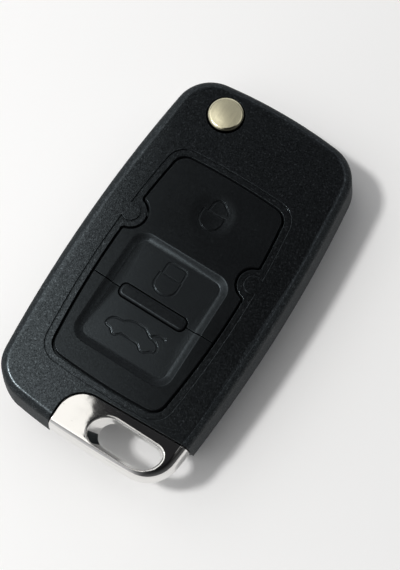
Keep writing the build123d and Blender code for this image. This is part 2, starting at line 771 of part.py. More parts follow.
# Uncut blade: milled flat with a long groove in both faces and a pointed tip
with BuildPart() as key_blade:
    with BuildSketch(Plane.XY.offset(blade_bottom)):
        with BuildLine():
            half = blade_width / 2
            Polyline((blade_x - half, arm_end_y), (blade_x - half, blade_tip_y + blade_tip_length),
                     (blade_x - half / 3, blade_tip_y), (blade_x + half / 3, blade_tip_y),
                     (blade_x + half, blade_tip_y + blade_tip_length), (blade_x + half, arm_end_y),
                     close=True)
        make_face()
        with Locations((blade_x, arm_end_y)):
            Rectangle(blade_root_width, blade_root_length, align=(Align.CENTER, Align.MIN))
        with Locations((blade_x, arm_end_y + blade_root_length / 2)):
            Circle(blade_pin_radius + blade_pin_clearance, mode=Mode.SUBTRACT)
    extrude(amount=blade_thickness)
    groove_y = (arm_end_y + blade_tip_y) / 2
    groove_length = arm_end_y - blade_tip_y - 2 * blade_tip_length
    for face_z, depth in ((blade_bottom, blade_groove_depth), (blade_top, -blade_groove_depth)):
        with BuildSketch(Plane.XY.offset(face_z)):
            with Locations((blade_x, groove_y)):
                SlotOverall(groove_length, blade_groove_width, rotation=90)
        extrude(amount=depth, mode=Mode.SUBTRACT)
key_blade.part.label = "key_blade"

# Roll pin through the arm and the blade's root
with BuildPart() as blade_pin:
    with BuildSketch(Plane.XY.offset(arm_bottom)):
        with Locations((blade_x, arm_end_y + blade_root_length / 2)):
            Circle(blade_pin_radius)
    extrude(amount=arm_height)
blade_pin.part.label = "blade_pin"

# Steel washer that the hub turns on
with BuildPart() as hub_washer:
    with BuildSketch(Plane.XY.offset(floor_wall)):
        with Locations((pivot_x, pivot_y)):
            Circle(hub_spigot_radius)
            Circle(post_pin_radius + post_pin_clearance, mode=Mode.SUBTRACT)
    extrude(amount=washer_thickness)
hub_washer.part.label = "hub_washer"

# Release button: crowned nickel cap on a skirt that slides in the hub
cap_wall = 1.4
with BuildPart() as release_button:
    edge_x = button_radius - button_edge_radius
    edge_z = button_top - button_crown
    crown_radius = (edge_x**2 + button_crown**2) / (2 * button_crown)
    crown_middle = (edge_x / 2, button_top - crown_radius + sqrt(crown_radius**2 - edge_x**2 / 4))
    with BuildSketch(Plane((pivot_x, pivot_y, 0), x_dir=(1, 0, 0), z_dir=(0, -1, 0))):
        with BuildLine():
            Polyline((0, button_top - cap_wall), (button_radius - button_wall, button_top - cap_wall),
                     (button_radius - button_wall, button_bottom), (button_radius, button_bottom),
                     (button_radius, edge_z - button_edge_radius))
            CenterArc((edge_x, edge_z - button_edge_radius), button_edge_radius, 0, 90)
            ThreePointArc((edge_x, edge_z), crown_middle, (0, button_top))
            Line((0, button_top), (0, button_top - cap_wall))
        make_face()
    revolve(axis=Axis((pivot_x, pivot_y, 0), (0, 0, 1)))
    with BuildSketch(Plane.XY.offset(lug_bottom)):
        with Locations((pivot_x, pivot_y)):
            Rectangle(2 * lug_reach, button_lug_width)
            Circle(button_radius - button_wall, mode=Mode.SUBTRACT)
    extrude(amount=button_lug_height)
release_button.part.label = "release_button"

# Coil spring between the hub's cup and the button
spring_bottom = cup_floor_z + spring_wire_radius + layer_gap
spring_top = button_top - cap_wall - spring_wire_radius - layer_gap
with BuildPart() as hub_spring:
    with BuildLine() as coil:
        Helix(pitch=(spring_top - spring_bottom) / spring_turns, height=spring_top - spring_bottom,
              radius=spring_radius, center=(pivot_x, pivot_y, spring_bottom))
    with BuildSketch(Plane(coil.line @ 0, z_dir=coil.line % 0)):
        RegularPolygon(spring_wire_radius, 6)
    sweep(path=coil.line, is_frenet=True)
hub_spring.part.label = "hub_spring"

# Three pan head screws from the back
with BuildPart() as casing_screws:
    with BuildSketch(Plane.XY.offset(screw_seat_depth)):
        with Locations(*screw_points):
            Circle(screw_radius)
    extrude(amount=parting_z + screw_bite - screw_seat_depth - layer_gap)
    with BuildSketch(Plane.XY.offset(screw_seat_depth)):
        with Locations(*screw_points):
            Circle(screw_head_radius)
    extrude(amount=-screw_head_height)
    with BuildSketch(Plane.XY.offset(screw_seat_depth - screw_head_height)):
        with Locations(*screw_points):
            Rectangle(2 * screw_drive_radius, screw_drive_radius / 2)
            Rectangle(screw_drive_radius / 2, 2 * screw_drive_radius)
    extrude(amount=screw_drive_depth, mode=Mode.SUBTRACT)
casing_screws.part.label = "casing_screws"


for piece in (upper_casing, lower_casing, ring_end, ring_pin, rocker_key, boot_key, key_frame, key_membrane,
              board_tray, cell_contacts, chip_holder, blade_hub, key_blade, blade_pin, hub_washer,
              release_button, hub_spring, casing_screws):
    export_step(piece.part, f"parts/{piece.part.label}.step")
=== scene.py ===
import json
from math import cos, radians, sin

import bmesh
import bpy
from mathutils import Matrix, Vector


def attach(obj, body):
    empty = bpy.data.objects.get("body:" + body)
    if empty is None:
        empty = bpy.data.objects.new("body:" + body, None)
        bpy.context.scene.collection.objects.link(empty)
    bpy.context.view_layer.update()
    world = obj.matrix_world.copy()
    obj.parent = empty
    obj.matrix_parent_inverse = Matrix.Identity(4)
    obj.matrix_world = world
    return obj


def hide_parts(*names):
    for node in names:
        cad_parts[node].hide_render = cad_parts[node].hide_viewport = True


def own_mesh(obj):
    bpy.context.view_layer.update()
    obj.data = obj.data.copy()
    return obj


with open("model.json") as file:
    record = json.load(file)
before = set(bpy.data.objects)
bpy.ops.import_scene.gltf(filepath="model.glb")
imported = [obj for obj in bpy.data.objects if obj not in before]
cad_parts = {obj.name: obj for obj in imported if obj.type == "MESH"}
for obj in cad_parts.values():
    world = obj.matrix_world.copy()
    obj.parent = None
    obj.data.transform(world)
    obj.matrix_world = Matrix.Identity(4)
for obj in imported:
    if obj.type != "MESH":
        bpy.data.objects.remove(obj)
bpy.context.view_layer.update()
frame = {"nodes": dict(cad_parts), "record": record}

bl_info = {
    "name": "Key fob shell",
    "version": (1, 0, 0),
    "blender": (4, 5, 0),
    "location": "3D View > Sidebar > Key fob",
    "description": "Dresses the packed key fob shell and sets a plain studio round it",
    "category": "Object",
}

MM = 0.001
MERGE_DISTANCE = 0.002 * MM
FLAT_ANGLE = radians(0.6)


# Sizes and colours that a user would change

class FobSizes(bpy.types.PropertyGroup):
    """Sizes of the fine detail on the fob."""
    icon_groove_width: bpy.props.FloatProperty(
        name="Icon groove width", description="Width of the engraved lines of the key icons",
        default=0.00046, subtype="DISTANCE", unit="LENGTH")
    icon_groove_depth: bpy.props.FloatProperty(
        name="Icon groove depth", description="Depth of the engraved lines of the key icons",
        default=0.00016, subtype="DISTANCE", unit="LENGTH")
    soft_edge: bpy.props.FloatProperty(
        name="Soft edge", description="Radius of the smallest moulded edges",
        default=0.00010, subtype="DISTANCE", unit="LENGTH")
    grain_size: bpy.props.FloatProperty(
        name="Grain size", description="Size of one bump of the casing's grain",
        default=0.00022, subtype="DISTANCE", unit="LENGTH")


class FobColours(bpy.types.PropertyGroup):
    """Colours of the fob's finishes."""
    casing: bpy.props.FloatVectorProperty(
        name="Casing", description="Black grained plastic of both casing halves",
        default=(0.0036, 0.0038, 0.0041), subtype="COLOR", size=3, min=0, max=1)
    keys: bpy.props.FloatVectorProperty(
        name="Keys", description="Black satin plastic of the keys",
        default=(0.0028, 0.0028, 0.0030), subtype="COLOR", size=3, min=0, max=1)
    chrome: bpy.props.FloatVectorProperty(
        name="Chrome", description="Bright plating of the ring end",
        default=(0.80, 0.79, 0.77), subtype="COLOR", size=3, min=0, max=1)
    nickel: bpy.props.FloatVectorProperty(
        name="Nickel", description="Warm brushed nickel of the release button",
        default=(0.64, 0.60, 0.43), subtype="COLOR", size=3, min=0, max=1)
    steel: bpy.props.FloatVectorProperty(
        name="Steel", description="Milled metal of the blade and its pins",
        default=(0.55, 0.54, 0.51), subtype="COLOR", size=3, min=0, max=1)


class FobStudio(bpy.types.PropertyGroup):
    """Lamps, floor and camera."""
    key_power: bpy.props.FloatProperty(
        name="Key power", description="Power of the small key lamp at the left",
        default=1.95, subtype="POWER", unit="POWER")
    panel_power: bpy.props.FloatProperty(
        name="Panel power", description="Power of the large soft panel at the left",
        default=1.15, subtype="POWER", unit="POWER")
    floor_colour: bpy.props.FloatVectorProperty(
        name="Floor colour", description="Pale table top",
        default=(0.93, 0.93, 0.935), subtype="COLOR", size=3, min=0, max=1)
    camera_height_angle: bpy.props.FloatProperty(
        name="Camera elevation", description="Angle of the camera above the table",
        default=radians(74.69), subtype="ANGLE", unit="ROTATION")
    camera_turn: bpy.props.FloatProperty(
        name="Camera turn", description="Turn of the camera round the fob from its ring end",
        default=radians(30.51), subtype="ANGLE", unit="ROTATION")
    camera_roll: bpy.props.FloatProperty(
        name="Camera roll", description="Roll of the camera about its own axis",
        default=radians(1.86), subtype="ANGLE", unit="ROTATION")
    camera_distance: bpy.props.FloatProperty(
        name="Camera distance", description="Distance from the camera to the point it looks at",
        default=0.20673, subtype="DISTANCE", unit="LENGTH")


# Helpers for meshes

node_body = {node: body for body, nodes in frame["record"]["behaviour"]["bodies"].items()
             for node in nodes}


def copied_shape(node):
    """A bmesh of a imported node, with its loose triangles merged and its flats made whole faces."""
    shape = bmesh.new()
    shape.from_mesh(frame["nodes"][node].data)
    bmesh.ops.remove_doubles(shape, verts=shape.verts, dist=MERGE_DISTANCE)
    whole_flats(shape)
    return shape


def whole_flats(shape):
    """Joins the faces that lie flat beside each other."""
    bmesh.ops.dissolve_limit(shape, angle_limit=FLAT_ANGLE, use_dissolve_boundaries=False,
                             verts=shape.verts, edges=shape.edges)


def ease(value, low, high):
    """Rises smoothly from 0 at low to 1 at high."""
    share = min(1.0, max(0.0, (value - low) / (high - low)))
    return share * share * (3 - 2 * share)


def draw_in_corner(shape):
    """Draws the casing's end beside the ring end in a little, and its corner a little more."""
    end_draw, corner_across, corner_along = 0.45 * MM, 0.45 * MM, 0.35 * MM
    diagonal = Vector((-1.0, -1.0, 0.0)).normalized()
    for vertex in shape.verts:
        x, y = vertex.co.x / MM, vertex.co.y / MM
        end = ease(-y, 30.0, 35.0) * ease(-x, 1.5, 3.8)
        corner = ease(vertex.co.dot(diagonal) / MM, 33.0, 37.5)
        vertex.co.x += corner_across * corner
        vertex.co.y += end_draw * end + corner_along * corner


def smooth_by_angle(shape, angle):
    """Shades all faces smooth and marks the edges that are sharper than the angle as sharp."""
    for face in shape.faces:
        face.smooth = True
    for edge in shape.edges:
        edge.smooth = len(edge.link_faces) == 2 and edge.calc_face_angle(0) < angle


def finished_piece(shape, name, node, material, angle=radians(35)):
    """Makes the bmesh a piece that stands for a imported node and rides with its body."""
    smooth_by_angle(shape, angle)
    mesh = bpy.data.meshes.new(name)
    shape.to_mesh(mesh)
    shape.free()
    mesh.materials.append(material)
    piece = bpy.data.objects.new(name, mesh)
    bpy.context.scene.collection.objects.link(piece)
    weighted = piece.modifiers.new("Even shading", "WEIGHTED_NORMAL")
    weighted.keep_sharp = True
    weighted.weight = 100
    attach(piece, node_body[node])
    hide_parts(node)
    return piece


def dress_node(node, material):
    """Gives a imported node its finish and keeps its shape."""
    packed = frame["nodes"][node]
    packed.data.materials.clear()
    packed.data.materials.append(material)


# Helpers for materials

def new_material(name, colour, roughness, metallic=0.0):
    """A material with its Principled BSDF set to plain values."""
    material = bpy.data.materials.new(name)
    material.use_nodes = True
    shader = material.node_tree.nodes["Principled BSDF"]
    shader.inputs["Base Color"].default_value = (*colour, 1)
    shader.inputs["Roughness"].default_value = roughness
    shader.inputs["Metallic"].default_value = metallic
    return material, material.node_tree.nodes, material.node_tree.links, shader


def add_node(nodes, kind, **values):
    """Adds a node and sets its properties and inputs by name."""
    node = nodes.new(kind)
    for key, value in values.items():
        if hasattr(node, key):
            setattr(node, key, value)
        else:
            node.inputs[key.replace("_", " ")].default_value = value
    return node


def calculated(nodes, links, operation, first, second, clamp=False):
    """The result of a Math node. First and second are sockets or plain numbers."""
    node = add_node(nodes, "ShaderNodeMath", operation=operation, use_clamp=clamp)
    for place, value in enumerate((first, second)):
        if isinstance(value, bpy.types.NodeSocket):
            links.new(value, node.inputs[place])
        else:
            node.inputs[place].default_value = value
    return node.outputs[0]


def ranged(nodes, links, value, low, high, from_low=0.0, from_high=1.0):
    """A value mapped from one range to another."""
    node = add_node(nodes, "ShaderNodeMapRange")
    node.inputs["From Min"].default_value = from_low
    node.inputs["From Max"].default_value = from_high
    node.inputs["To Min"].default_value = low
    node.inputs["To Max"].default_value = high
    links.new(value, node.inputs["Value"])
    return node.outputs[0]


def height_of(nodes, links, vector):
    """The Z part of a vector: a place's height, or how far up a surface faces."""
    split = nodes.new("ShaderNodeSeparateXYZ")
    links.new(vector, split.inputs[0])
    return split.outputs["Z"]


def new_group(name, inputs, outputs):
    """A shader node group with named sockets."""
    group = bpy.data.node_groups.new(name, "ShaderNodeTree")
    for label, kind, default in inputs:
        socket = group.interface.new_socket(name=label, in_out="INPUT", socket_type=kind)
        if default is not None:
            socket.default_value = default
    for label, kind in outputs:
        group.interface.new_socket(name=label, in_out="OUTPUT", socket_type=kind)
    return group, group.nodes.new("NodeGroupInput"), group.nodes.new("NodeGroupOutput")


def moulded_grain_group():
    """Fine spark-eroded grain: a height, sparse flecks, an even speckle, and a broad cloud."""
    group, given, result = new_group(
        "Moulded grain",
        [("Vector", "NodeSocketVector", None), ("Grain size", "NodeSocketFloat", 0.2),
         ("Fleck share", "NodeSocketFloat", 0.2)],
        [("Height", "NodeSocketFloat"), ("Flecks", "NodeSocketFloat"),
         ("Speckle", "NodeSocketFloat"), ("Cloud", "NodeSocketFloat")])
    nodes, links = group.nodes, group.links
    scale = calculated(nodes, links, "DIVIDE", 1, given.outputs["Grain size"])
    fine = add_node(nodes, "ShaderNodeTexNoise", Detail=3.0, Roughness=0.6)
    pits = add_node(nodes, "ShaderNodeTexVoronoi", feature="F1")
    sparse = add_node(nodes, "ShaderNodeTexNoise", Detail=1.0, Roughness=0.5)
    cloud = add_node(nodes, "ShaderNodeTexNoise", Scale=90.0, Detail=3.0)
    for texture in (fine, pits, sparse, cloud):
        links.new(given.outputs["Vector"], texture.inputs["Vector"])
    for texture in (fine, pits):
        links.new(scale, texture.inputs["Scale"])
    links.new(calculated(nodes, links, "MULTIPLY", scale, 0.55), sparse.inputs["Scale"])
    height = calculated(nodes, links, "ADD", fine.outputs[0], pits.outputs["Distance"])
    links.new(calculated(nodes, links, "MULTIPLY", height, 0.6), result.inputs["Height"])
    # The flecks are the peaks of the sparse noise, and their edges fade over a narrow range
    fleck_edge = calculated(nodes, links, "SUBTRACT", 0.78, given.outputs["Fleck share"])
    flecks = add_node(nodes, "ShaderNodeMapRange")
    links.new(sparse.outputs[0], flecks.inputs["Value"])
    links.new(fleck_edge, flecks.inputs["From Min"])
    links.new(calculated(nodes, links, "ADD", fleck_edge, 0.09), flecks.inputs["From Max"])
    links.new(flecks.outputs[0], result.inputs["Flecks"])
    speckle = ranged(nodes, links, fine.outputs[0], 0.0, 1.0, 0.32, 0.68)
    links.new(speckle, result.inputs["Speckle"])
    links.new(cloud.outputs[0], result.inputs["Cloud"])
    return group


def edge_wear_group():
    """Finds edges by a rounded normal: a broken wear mask and the rounded normal itself."""
    group, given, result = new_group(
        "Edge wear",
        [("Vector", "NodeSocketVector", None), ("Radius", "NodeSocketFloat", 0.0001),
         ("Amount", "NodeSocketFloat", 1.0)],
        [("Wear", "NodeSocketFloat"), ("Normal", "NodeSocketVector")])
    nodes, links = group.nodes, group.links
    rounded = add_node(nodes, "ShaderNodeBevel", samples=6)
    links.new(given.outputs["Radius"], rounded.inputs["Radius"])
    true_normal = add_node(nodes, "ShaderNodeNewGeometry")
    match = add_node(nodes, "ShaderNodeVectorMath", operation="DOT_PRODUCT")
    links.new(rounded.outputs[0], match.inputs[0])
    links.new(true_normal.outputs["Normal"], match.inputs[1])
    edge = ranged(nodes, links, match.outputs["Value"], 0.0, 1.0, 0.995, 0.90)
    breaks = add_node(nodes, "ShaderNodeTexNoise", Scale=900.0, Detail=4.0)
    links.new(given.outputs["Vector"], breaks.inputs["Vector"])
    broken = calculated(nodes, links, "MULTIPLY", edge, breaks.outputs[0])
    wear = calculated(nodes, links, "MULTIPLY", broken, given.outputs["Amount"], clamp=True)
    links.new(wear, result.inputs["Wear"])
    links.new(rounded.outputs[0], result.inputs["Normal"])
    return group


def brushed_group():
    """Long fine streaks along one direction, for brushed and milled metal."""
    group, given, result = new_group(
        "Brushed streaks",
        [("Vector", "NodeSocketVector", None), ("Streak width", "NodeSocketFloat", 0.00005),
         ("Length ratio", "NodeSocketVector", (1, 20, 1))],
        [("Height", "NodeSocketFloat"), ("Shade", "NodeSocketFloat")])
    nodes, links = group.nodes, group.links
    stretch = add_node(nodes, "ShaderNodeVectorMath", operation="DIVIDE")
    links.new(given.outputs["Vector"], stretch.inputs[0])
    links.new(given.outputs["Length ratio"], stretch.inputs[1])
    scale = calculated(nodes, links, "DIVIDE", 1, given.outputs["Streak width"])
    streaks = add_node(nodes, "ShaderNodeTexNoise", Detail=2.0, Roughness=0.6)
    links.new(stretch.outputs[0], streaks.inputs["Vector"])
    links.new(scale, streaks.inputs["Scale"])
    links.new(streaks.outputs[0], result.inputs["Height"])
    shade = add_node(nodes, "ShaderNodeTexNoise", Detail=4.0, Roughness=0.65)
    links.new(stretch.outputs[0], shade.inputs["Vector"])
    links.new(calculated(nodes, links, "MULTIPLY", scale, 0.2), shade.inputs["Scale"])
    links.new(shade.outputs[0], result.inputs["Shade"])
    return group


made_groups = {}


def place_group(nodes, maker, **values):
    """Places a shared group in a material with its own values. It is built the first time."""
    if maker not in made_groups:
        made_groups[maker] = maker()
    node = nodes.new("ShaderNodeGroup")
    node.node_tree = made_groups[maker]
    for key, value in values.items():
        node.inputs[key.replace("_", " ")].default_value = value
    return node


def mixed_colour(nodes, links, mask, first, second):
    """A colour that goes from first to second as the mask rises."""
    mix = nodes.new("ShaderNodeMix")
    mix.data_type = "RGBA"
    links.new(mask, mix.inputs["Factor"])
    # A Mix node has sockets for each kind of value: its colours are inputs 6 and 7 and output 2
    for socket, value in ((mix.inputs[6], first), (mix.inputs[7], second)):
        if isinstance(value, tuple):
            socket.default_value = (*value, 1)
        else:
            links.new(value, socket)
    return mix.outputs[2]


def add_bump(nodes, links, shader, height, distance, normal=None):
    """Feeds a height into the shader's normal, over a rounded normal if one is given."""
    bump = add_node(nodes, "ShaderNodeBump", Strength=1.0, Distance=distance)
    links.new(height, bump.inputs["Height"])
    if normal is not None:
        links.new(normal, bump.inputs["Normal"])
    links.new(bump.outputs[0], shader.inputs["Normal"])


def grained_plastic(name, colour, roughness, grain, fleck_share, glint_fleck_colour, depth,
                    wear=0.0, side_roughness=0.6, sparkle=0.35, shine=(1.0, 1.0),
                    shine_heights=(0.0, 1.0)):
    """Black moulded plastic with a fine sparkling grain, and flecks that are glossier and painted
    pale as glints.

    Its steep sides are rougher and less glossy, and its grooves are darkened by ambient occlusion,
    as painted shade. Shine gives the gloss at the lower and the upper of the two shine heights."""
    cool_gloss, plain_gloss, fleck_gloss = (0.77, 0.91, 1.0, 1), 0.70, 1.2
    side_gloss, painted_groove_gloss, groove_reach = 0.58, 0.15, 0.4 * MM
    sizes = bpy.context.scene.fob_sizes
    material, nodes, links, shader = new_material(name, colour, roughness)
    shader.inputs["Specular Tint"].default_value = cool_gloss
    place = nodes.new("ShaderNodeTexCoord")
    texture = place_group(nodes, moulded_grain_group, Grain_size=grain, Fleck_share=fleck_share)
    links.new(place.outputs["Object"], texture.inputs["Vector"])
    facing = height_of(nodes, links, place.outputs["Normal"])

    # Gloss: even speckle and flecks, then each of the things that dull it, painted shade in the
    # grooves among them
    speckled = ranged(nodes, links, texture.outputs["Speckle"],
                      plain_gloss * (1 - sparkle), plain_gloss * (1 + sparkle))
    peaks = ranged(nodes, links, texture.outputs["Flecks"], 0.0, fleck_gloss * sparkle)
    gloss = calculated(nodes, links, "ADD", speckled, peaks)
    height = height_of(nodes, links, place.outputs["Object"])
    # Painted shade: ambient occlusion cuts the gloss in grooves and creases so that they look dark
    painted_groove_shade = add_node(nodes, "ShaderNodeAmbientOcclusion", samples=6, Distance=groove_reach)
    for share in (ranged(nodes, links, height, *shine, *shine_heights),
                  ranged(nodes, links, facing, side_gloss, 1.0, 0.96, 0.998),
                  ranged(nodes, links, painted_groove_shade.outputs["AO"], painted_groove_gloss, 1.0, 0.55, 0.95)):
        gloss = calculated(nodes, links, "MULTIPLY", gloss, share)
    links.new(gloss, shader.inputs["Specular IOR Level"])

    # Colour: the same speckle, the flecks painted pale as glints, and paler worn edges
    edges = place_group(nodes, edge_wear_group, Radius=sizes.soft_edge, Amount=wear)
    links.new(place.outputs["Object"], edges.inputs["Vector"])
    dark = tuple((1 - sparkle) * part for part in colour)
    light = tuple((1 + sparkle) * part for part in colour)
    ground = mixed_colour(nodes, links, texture.outputs["Speckle"], dark, light)
    # Painted highlight: the flecks are paler in the colour, standing in for glints of the grain
    glint_flecked = mixed_colour(nodes, links, texture.outputs["Flecks"], ground, glint_fleck_colour)
    worn = mixed_colour(nodes, links, edges.outputs["Wear"], glint_flecked,
                        tuple(3 * part for part in colour))
    links.new(worn, shader.inputs["Base Color"])

    rough = ranged(nodes, links, texture.outputs["Cloud"], roughness - 0.04, roughness + 0.04)
    steep = ranged(nodes, links, facing, side_roughness - roughness, 0.0, 0.94, 0.998)
    links.new(calculated(nodes, links, "ADD", rough, steep), shader.inputs["Roughness"])
    add_bump(nodes, links, shader, texture.outputs["Height"], depth, edges.outputs["Normal"])
    return material


def bright_chrome(name, colour):
    """Mirror plating with a faint haze and waves, soft edges and a few small worn flakes."""
    sizes = bpy.context.scene.fob_sizes
    material, nodes, links, shader = new_material(name, colour, 0.05, 1.0)
    place = nodes.new("ShaderNodeTexCoord")
    flakes = add_node(nodes, "ShaderNodeTexNoise", Scale=1500.0, Detail=5.0, Roughness=0.7)
    haze = add_node(nodes, "ShaderNodeTexNoise", Scale=260.0, Detail=4.0)
    waves = add_node(nodes, "ShaderNodeTexNoise", Scale=180.0, Detail=2.0)
    edges = place_group(nodes, edge_wear_group, Radius=1.5 * sizes.soft_edge, Amount=0.3)
    for texture in (flakes, haze, waves, edges):
        links.new(place.outputs["Object"], texture.inputs["Vector"])
    chips = ranged(nodes, links, flakes.outputs[0], 0.0, 1.0, 0.69, 0.72)
    chipped = mixed_colour(nodes, links, chips, colour, (0.20, 0.15, 0.11))
    links.new(chipped, shader.inputs["Base Color"])
    # The light that the plating throws on the table is spread, so it makes no sharp bright spots
    path = nodes.new("ShaderNodeLightPath")
    softer = add_node(nodes, "ShaderNodeMath", operation="MULTIPLY_ADD", use_clamp=True)
    softer.inputs[1].default_value = 0.6
    links.new(path.outputs["Is Diffuse Ray"], softer.inputs[0])
    links.new(ranged(nodes, links, haze.outputs[0], 0.02, 0.07, 0.3, 0.8), softer.inputs[2])
    links.new(softer.outputs[0], shader.inputs["Roughness"])
    add_bump(nodes, links, shader, waves.outputs[0], 0.00003, edges.outputs["Normal"])
    return material


def brushed_metal(name, colour, roughness, ratio, width=0.00006, depth=0.000006, wear=0.4,
                  side_roughness=None, painted_shade_height=None):
    """Metal with fine streaks in one direction and brighter worn edges.

    If asked, its steep sides are smoother, and below a given height its colour is painted nearly
    black, as painted shade at its foot."""
    sizes = bpy.context.scene.fob_sizes
    material, nodes, links, shader = new_material(name, colour, roughness, 1.0)
    place = nodes.new("ShaderNodeTexCoord")
    streaks = place_group(nodes, brushed_group, Streak_width=width, Length_ratio=ratio)
    edges = place_group(nodes, edge_wear_group, Radius=sizes.soft_edge, Amount=wear)
    for texture in (streaks, edges):
        links.new(place.outputs["Object"], texture.inputs["Vector"])
    dark = tuple(0.78 * part for part in colour)
    light = tuple(min(1.0, 1.15 * part) for part in colour)
    bright = tuple(min(1.0, 1.5 * part) for part in colour)
    shade = mixed_colour(nodes, links, streaks.outputs["Shade"], dark, light)
    surface = mixed_colour(nodes, links, edges.outputs["Wear"], shade, bright)
    if painted_shade_height is not None:
        # Painted shade: below the given height the colour goes nearly black, standing in for the
        # shade and dark reflection round the part's foot
        height = height_of(nodes, links, place.outputs["Object"])
        low = ranged(nodes, links, height, 1.0, 0.0, painted_shade_height, painted_shade_height + 0.2 * MM)
        surface = mixed_colour(nodes, links, low, surface, tuple(0.05 * part for part in colour))
    links.new(surface, shader.inputs["Base Color"])
    rough = ranged(nodes, links, streaks.outputs["Height"], roughness - 0.08, roughness + 0.08,
                   0.3, 0.7)
    if side_roughness is not None:
        facing = height_of(nodes, links, place.outputs["Normal"])
        smoother = ranged(nodes, links, facing, side_roughness / roughness, 1.0, 0.955, 0.985)
        rough = calculated(nodes, links, "MULTIPLY", rough, smoother)
    links.new(rough, shader.inputs["Roughness"])
    add_bump(nodes, links, shader, streaks.outputs["Height"], depth, edges.outputs["Normal"])
    return material


def moulded_rubber(name, colour):
    """Soft silicone with a faint dusty bloom."""
    material, nodes, links, shader = new_material(name, colour, 0.65)
    shader.inputs["Sheen Weight"].default_value = 0.15
    place = nodes.new("ShaderNodeTexCoord")
    texture = place_group(nodes, moulded_grain_group, Grain_size=0.4 * MM, Fleck_share=0.1)
    links.new(place.outputs["Object"], texture.inputs["Vector"])
    pale = tuple(1.4 * part for part in colour)
    dusty = mixed_colour(nodes, links, texture.outputs["Cloud"], colour, pale)
    links.new(dusty, shader.inputs["Base Color"])
    add_bump(nodes, links, shader, texture.outputs["Height"], 0.00001)
    return material


# Icons, in millimetres in the plan of the fob, drawn as engraved lines

UNLOCK_LINES = [
    [(-2.45, 11.65), (-2.45, 10.2), (-2.1, 9.2), (-1.3, 8.5), (-0.25, 8.25), (0.8, 8.5),
     (1.6, 9.2), (1.95, 10.2), (1.95, 11.65), (-2.45, 11.65)],
    [(-1.5, 11.6), (-1.45, 13.0), (-1.15, 13.85), (-0.5, 14.3), (0.25, 14.2), (1.85, 13.0),
     (2.05, 12.4)],
]
LOCK_LINES = [
    [(-2.75, -2.4), (-2.75, -4.3), (-2.3, -5.2), (-1.5, -5.7), (-0.5, -5.85), (0.5, -5.6),
     (1.3, -5.1), (1.7, -4.2), (1.7, -2.4), (-2.75, -2.4)],
    [(-2.3, -2.3), (-2.3, -0.5), (-2.1, -0.1), (-1.7, 0.05), (0.9, 0.05), (1.35, -0.1),
     (1.55, -0.5), (1.55, -2.3)],
]
CAR_LINES = [
    [(-5.75, -15.1), (-5.7, -14.4), (-5.3, -13.8), (-4.6, -13.4), (-3.9, -13.35), (-3.0, -13.25),
     (-2.6, -12.85), (-1.9, -12.5), (-1.0, -12.35), (0.6, -12.35), (1.3, -12.75), (2.1, -13.3),
     (2.5, -13.55), (3.1, -13.5), (3.7, -13.7), (4.3, -14.2), (4.5, -14.9), (4.3, -15.3),
     (3.6, -15.4), (3.3, -15.8), (2.6, -16.25), (1.8, -16.2), (1.3, -15.7), (1.0, -15.45),
     (-2.4, -15.4), (-2.7, -15.75), (-3.2, -16.2), (-3.8, -16.2), (-4.3, -15.8), (-4.6, -15.5),
     (-5.5, -15.35), (-5.75, -15.1)],
    [(2.3, -13.1), (2.9, -12.6), (3.6, -12.35), (4.4, -12.3), (4.9, -12.6)],
]


def evaluated_mesh(holder):
    """A new mesh of an object as its modifiers or its bevel make it."""
    bpy.context.view_layer.update()
    graph = bpy.context.evaluated_depsgraph_get()
    return bpy.data.meshes.new_from_object(holder.evaluated_get(graph))


def groove_cutters(name, lines, node):
    """A tube for each drawn line, sunk into a key's surface by the depth of the groove."""
    sizes = bpy.context.scene.fob_sizes
    half = sizes.icon_groove_width / 2
    radius = (half ** 2 + sizes.icon_groove_depth ** 2) / (2 * sizes.icon_groove_depth)
    above = radius - sizes.icon_groove_depth
    packed = frame["nodes"][node]
    start_height = 50 * MM
    tubes = []
    for line in lines:
        curve = bpy.data.curves.new(name, "CURVE")
        curve.dimensions = "3D"
        curve.bevel_depth = radius
        curve.bevel_resolution = 3
        curve.use_fill_caps = True
        spline = curve.splines.new("POLY")
        closed = line[0] == line[-1]
        points = line[:-1] if closed else line
        spline.points.add(len(points) - 1)
        for point, (x, y) in zip(spline.points, points):
            start = Vector((x * MM, y * MM, start_height))
            hit, spot, _, _ = packed.ray_cast(start, Vector((0, 0, -1)))
            if not hit:
                raise RuntimeError(f"the line {name} misses {node} at {x}, {y}")
            point.co = (x * MM, y * MM, spot.z + above, 1)
        spline.use_cyclic_u = closed
        holder = bpy.data.objects.new(name, curve)
        bpy.context.scene.collection.objects.link(holder)
        tubes.append(evaluated_mesh(holder))
        bpy.data.objects.remove(holder)
    return tubes


def carved(shape, cutters, solver="EXACT"):
    """Gives back the shape with each cutter's mesh taken out of it."""
    mesh = bpy.data.meshes.new("blank")
    shape.to_mesh(mesh)
    shape.free()
    blank = bpy.data.objects.new("blank", mesh)
    holders = [bpy.data.objects.new("cutter", cutter) for cutter in cutters]
    for holder in (blank, *holders):
        bpy.context.scene.collection.objects.link(holder)
    for holder in holders:
        cut = blank.modifiers.new("Cut", "BOOLEAN")
        cut.operation = "DIFFERENCE"
        cut.solver = solver
        cut.use_self = True
        cut.object = holder
    result = evaluated_mesh(blank)
    shape = bmesh.new()
    shape.from_mesh(result)
    bmesh.ops.remove_doubles(shape, verts=shape.verts, dist=MERGE_DISTANCE)
    for holder in (blank, *holders):
        bpy.data.objects.remove(holder)
    for used in (mesh, result, *cutters):
        bpy.data.meshes.remove(used)
    return shape


# The ring end's slot: centre and reach of each corner in millimetres, from the far left clockwise

SLOT_MOUTH = ((5.55, -31.85, 3.60, 3.40), (13.50, -30.05, 1.80, 1.60),
              (10.30, -30.05, 5.00, 3.90), (4.55, -31.95, 2.60, 2.00))
SLOT_FOOT = ((6.00, -31.10, 2.50, 2.50), (13.10, -30.30, 1.80, 1.70),
             (10.60, -30.30, 4.30, 3.00), (5.60, -31.30, 2.10, 2.00))


